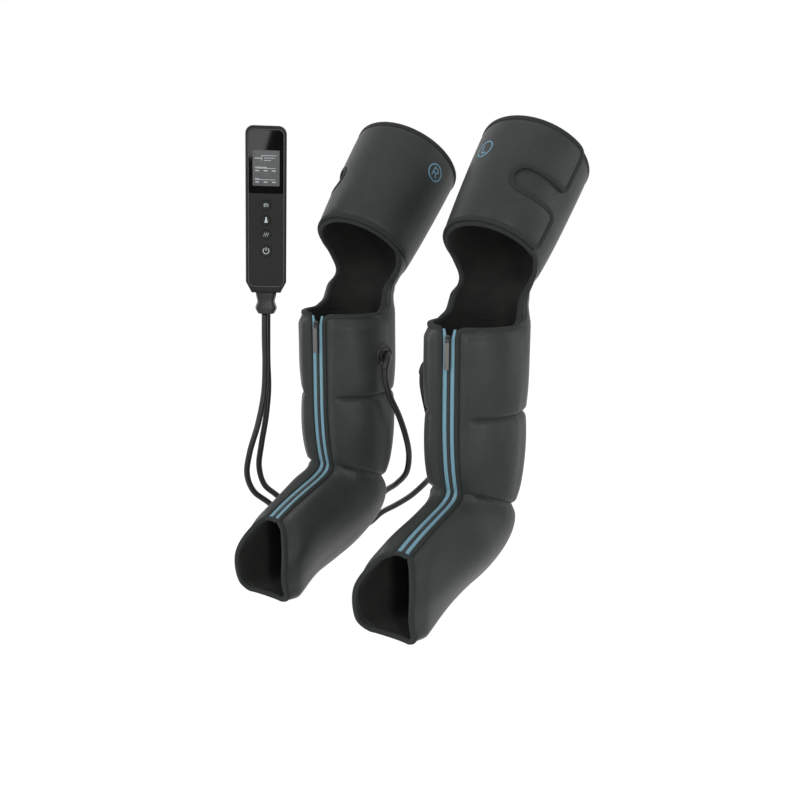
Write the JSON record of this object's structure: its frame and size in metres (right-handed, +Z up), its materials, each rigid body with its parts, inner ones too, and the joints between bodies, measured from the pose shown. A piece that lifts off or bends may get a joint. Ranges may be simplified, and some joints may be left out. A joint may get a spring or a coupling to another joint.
{
  "type": "air compression leg massager",
  "caption": "Air massager for both legs: padded open-toe boots with front zips, wrap-round thigh cuffs and a hand-held pump joined by hoses.",
  "frame": {"origin": "on the floor, under the middle of the box round everything but the hoses and their plug", "axes": "+Z up, -Y to the toes, -X to the wearer's right"},
  "size_m": [0.4653, 0.4227, 0.6785],
  "materials": {
    "outer_cloth": "soft satin polyester",
    "lining_cloth": "matt brushed cloth",
    "binding_cloth": "ribbed woven binding",
    "stripe_tape": "woven tape",
    "zip_plastic": "moulded",
    "pull_metal": "satin",
    "case_plastic": "fine matt",
    "window_glass": "polished",
    "screen": "smooth",
    "hose_rubber": "smooth",
    "board": "solder mask",
    "grey_silicone": "matt",
    "steel": "plain",
    "battery_wrap": "shrink film"
  },
  "bodies": {
    "boots_and_handset": {"right_calf_upper_chamber": "outer_cloth", "right_calf_lower_chamber": "outer_cloth", "right_foot_chamber": "outer_cloth", "right_boot_lining": "lining_cloth", "right_calf_top_binding": "binding_cloth", "right_toe_binding": "binding_cloth", "right_inner_zip_tape": "stripe_tape", "right_outer_zip_tape": "stripe_tape", "right_zip_chain": "zip_plastic", "right_knee_panel": "lining_cloth", "right_hose_socket": "hose_rubber", "right_hose_elbow": "hose_rubber", "left_calf_upper_chamber": "outer_cloth", "left_calf_lower_chamber": "outer_cloth", "left_foot_chamber": "outer_cloth", "left_boot_lining": "lining_cloth", "left_calf_top_binding": "binding_cloth", "left_toe_binding": "binding_cloth", "left_inner_zip_tape": "stripe_tape", "left_outer_zip_tape": "stripe_tape", "left_zip_chain": "zip_plastic", "left_knee_panel": "lining_cloth", "left_hose_socket": "hose_rubber", "left_hose_elbow": "hose_rubber", "handset_front_cover": "case_plastic", "handset_rear_cover": "case_plastic", "display_window": "window_glass", "lcd_module": "screen", "keypad_membrane": "grey_silicone", "circuit_board": "board", "air_pump": "steel", "battery_pack": "battery_wrap", "valve_block": "grey_silicone", "air_port": "grey_silicone", "upper_left_screw": "steel", "upper_right_screw": "steel", "lower_left_screw": "steel", "lower_right_screw": "steel", "hose_plug": "hose_rubber", "right_hose": "hose_rubber", "left_hose": "hose_rubber"},
    "right_thigh": {"right_thigh_cuff": "outer_cloth", "right_thigh_wrap": "outer_cloth"},
    "right_flap": {"right_thigh_flap": "outer_cloth"},
    "right_slider": {"right_zip_slider": "zip_plastic"},
    "right_pull": {"right_zip_pull": "pull_metal"},
    "left_thigh": {"left_thigh_cuff": "outer_cloth", "left_thigh_wrap": "outer_cloth"},
    "left_flap": {"left_thigh_flap": "outer_cloth"},
    "left_slider": {"left_zip_slider": "zip_plastic"},
    "left_pull": {"left_zip_pull": "pull_metal"},
    "mode_button": {"mode_button": "case_plastic"},
    "intensity_button": {"intensity_button": "case_plastic"},
    "heat_button": {"heat_button": "case_plastic"},
    "power_button": {"power_button": "case_plastic"}
  },
  "joints": [
    {"name": "right_knee_fold", "type": "hinge", "parent": "boots_and_handset", "child": "right_thigh", "pos_m": [-0.0845, 0.063, 0.418], "axis": [1, 0, 0], "range_deg": [-45, 40], "deforming": ["right_knee_panel"]},
    {"name": "right_flap_hinge", "type": "hinge", "parent": "right_thigh", "child": "right_flap", "pos_m": [-0.01496, 0.05811, 0.58352], "axis": [0.0442, 0.6301, 0.7753], "range_deg": [0, 75]},
    {"name": "right_zip_slide", "type": "slide", "parent": "boots_and_handset", "child": "right_slider", "axis": [0, 0, -1], "range_m": [0, 0.12]},
    {"name": "right_pull_swing", "type": "hinge", "parent": "right_slider", "child": "right_pull", "pos_m": [-0.0845, -0.0791, 0.383], "axis": [1, 0, 0], "range_deg": [-150, 0]},
    {"name": "left_knee_fold", "type": "hinge", "parent": "boots_and_handset", "child": "left_thigh", "pos_m": [0.1505, 0.063, 0.418], "axis": [1, 0, 0], "range_deg": [-45, 40], "deforming": ["left_knee_panel"]},
    {"name": "left_flap_hinge", "type": "hinge", "parent": "left_thigh", "child": "left_flap", "pos_m": [0.08096, 0.05811, 0.58352], "axis": [0.0442, -0.6301, -0.7753], "range_deg": [0, 75]},
    {"name": "left_zip_slide", "type": "slide", "parent": "boots_and_handset", "child": "left_slider", "axis": [0, 0, -1], "range_m": [0, 0.12]},
    {"name": "left_pull_swing", "type": "hinge", "parent": "left_slider", "child": "left_pull", "pos_m": [0.1505, -0.0791, 0.383], "axis": [1, 0, 0], "range_deg": [-150, 0]},
    {"name": "mode_button_press", "type": "slide", "parent": "boots_and_handset", "child": "mode_button", "axis": [-0.7034, 0.7108, 0], "range_m": [0, 0.0006], "stiffness_N_per_m": 2000},
    {"name": "intensity_button_press", "type": "slide", "parent": "boots_and_handset", "child": "intensity_button", "axis": [-0.7034, 0.7108, 0], "range_m": [0, 0.0006], "stiffness_N_per_m": 2000},
    {"name": "heat_button_press", "type": "slide", "parent": "boots_and_handset", "child": "heat_button", "axis": [-0.7034, 0.7108, 0], "range_m": [0, 0.0006], "stiffness_N_per_m": 2000},
    {"name": "power_button_press", "type": "slide", "parent": "boots_and_handset", "child": "power_button", "axis": [-0.7034, 0.7108, 0], "range_m": [0, 0.0006], "stiffness_N_per_m": 2000}
  ]
}
